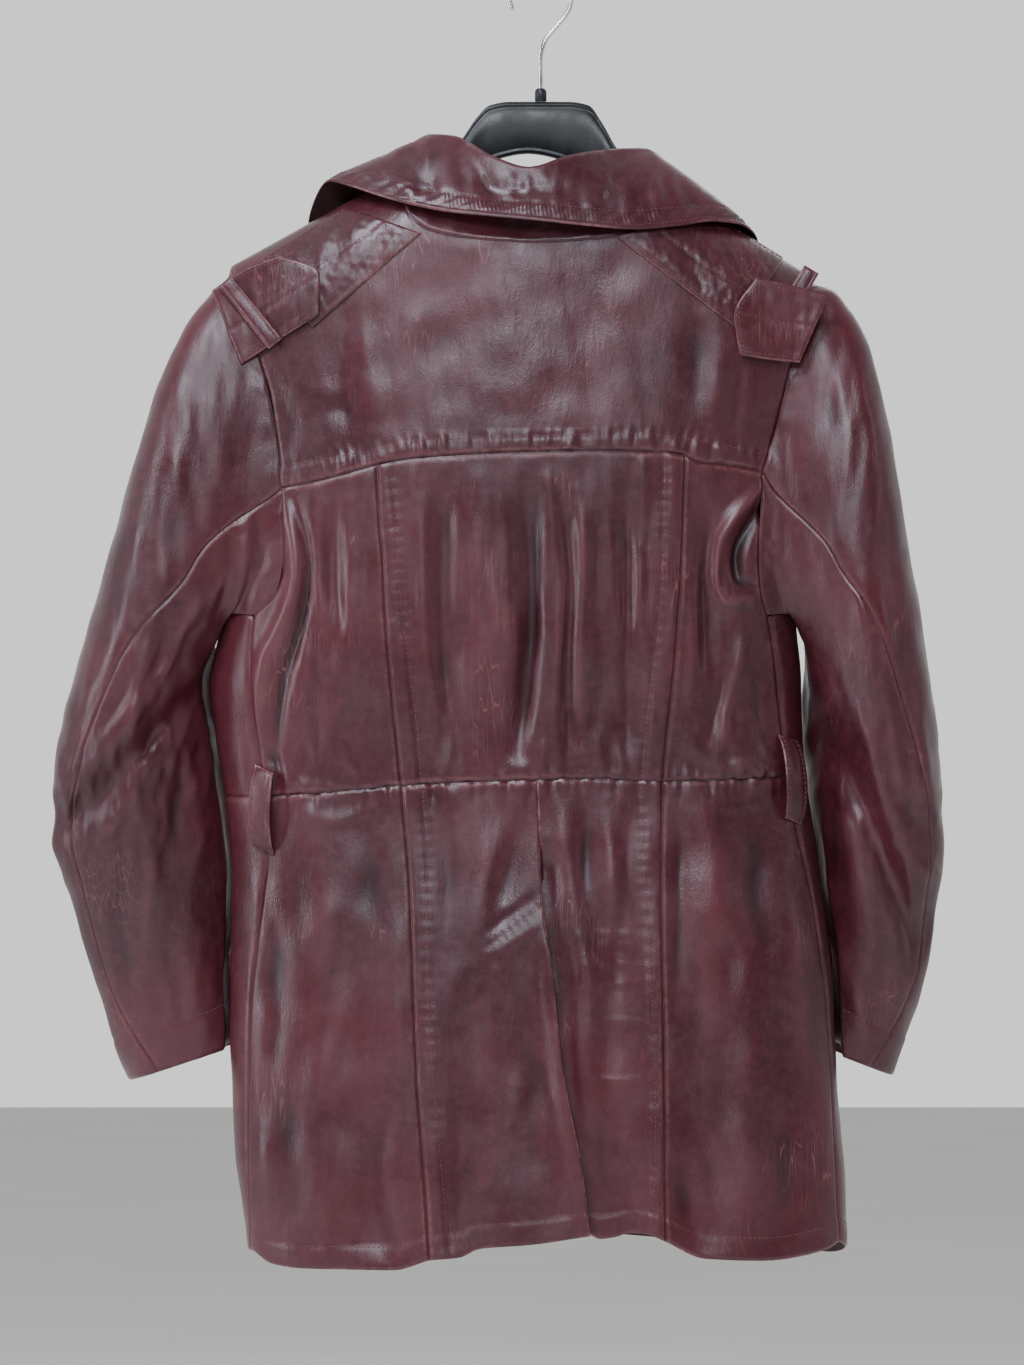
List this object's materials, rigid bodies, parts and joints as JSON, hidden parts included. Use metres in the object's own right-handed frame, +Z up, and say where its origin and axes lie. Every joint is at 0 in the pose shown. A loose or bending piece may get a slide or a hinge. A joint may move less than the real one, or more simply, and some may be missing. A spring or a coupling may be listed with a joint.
{
  "type": "leather coat on a clothes hanger",
  "caption": "Short leather coat in a trench style, hanging on a plastic clothes hanger with a wire hook, shown from its back.",
  "frame": {"origin": "inner top of the hanger's hook, where the rail that holds it lies", "axes": "+Z up, the coat's back faces -Y, +X is to the right as the back is seen"},
  "size_m": [0.6283, 0.1674, 0.9176],
  "materials": {
    "leather": "satin, worn lighter along folded edges",
    "buttons": "gloss",
    "hanger_plastic": "satin",
    "hook_wire": "polished"
  },
  "bodies": {
    "root": {"back_yoke": "leather", "back_side_left": "leather", "back_centre": "leather", "back_side_right": "leather", "skirt_side_left": "leather", "skirt_back_left": "leather", "skirt_back_right": "leather", "skirt_side_right": "leather", "front_left": "leather", "front_skirt_left": "leather", "front_right": "leather", "front_skirt_right": "leather", "lapel_left": "leather", "lapel_right": "leather", "pocket_welt_left": "leather", "pocket_welt_right": "leather", "belt_loop_left": "leather", "belt_loop_right": "leather", "top_sleeve_left": "leather", "under_sleeve_left": "leather", "top_sleeve_right": "leather", "under_sleeve_right": "leather", "collar": "leather", "collar_stand": "leather", "epaulette_left": "leather", "epaulette_right": "leather", "epaulette_tab_left": "leather", "epaulette_loop_left": "leather", "epaulette_loop_right": "leather", "epaulette_tab_right": "leather", "front_button_1": "buttons", "front_button_2": "buttons", "front_button_3": "buttons", "front_button_4": "buttons", "hanger_body": "hanger_plastic", "hanger_socket": "hanger_plastic", "hanger_hook": "hook_wire"}
  },
  "joints": []
}
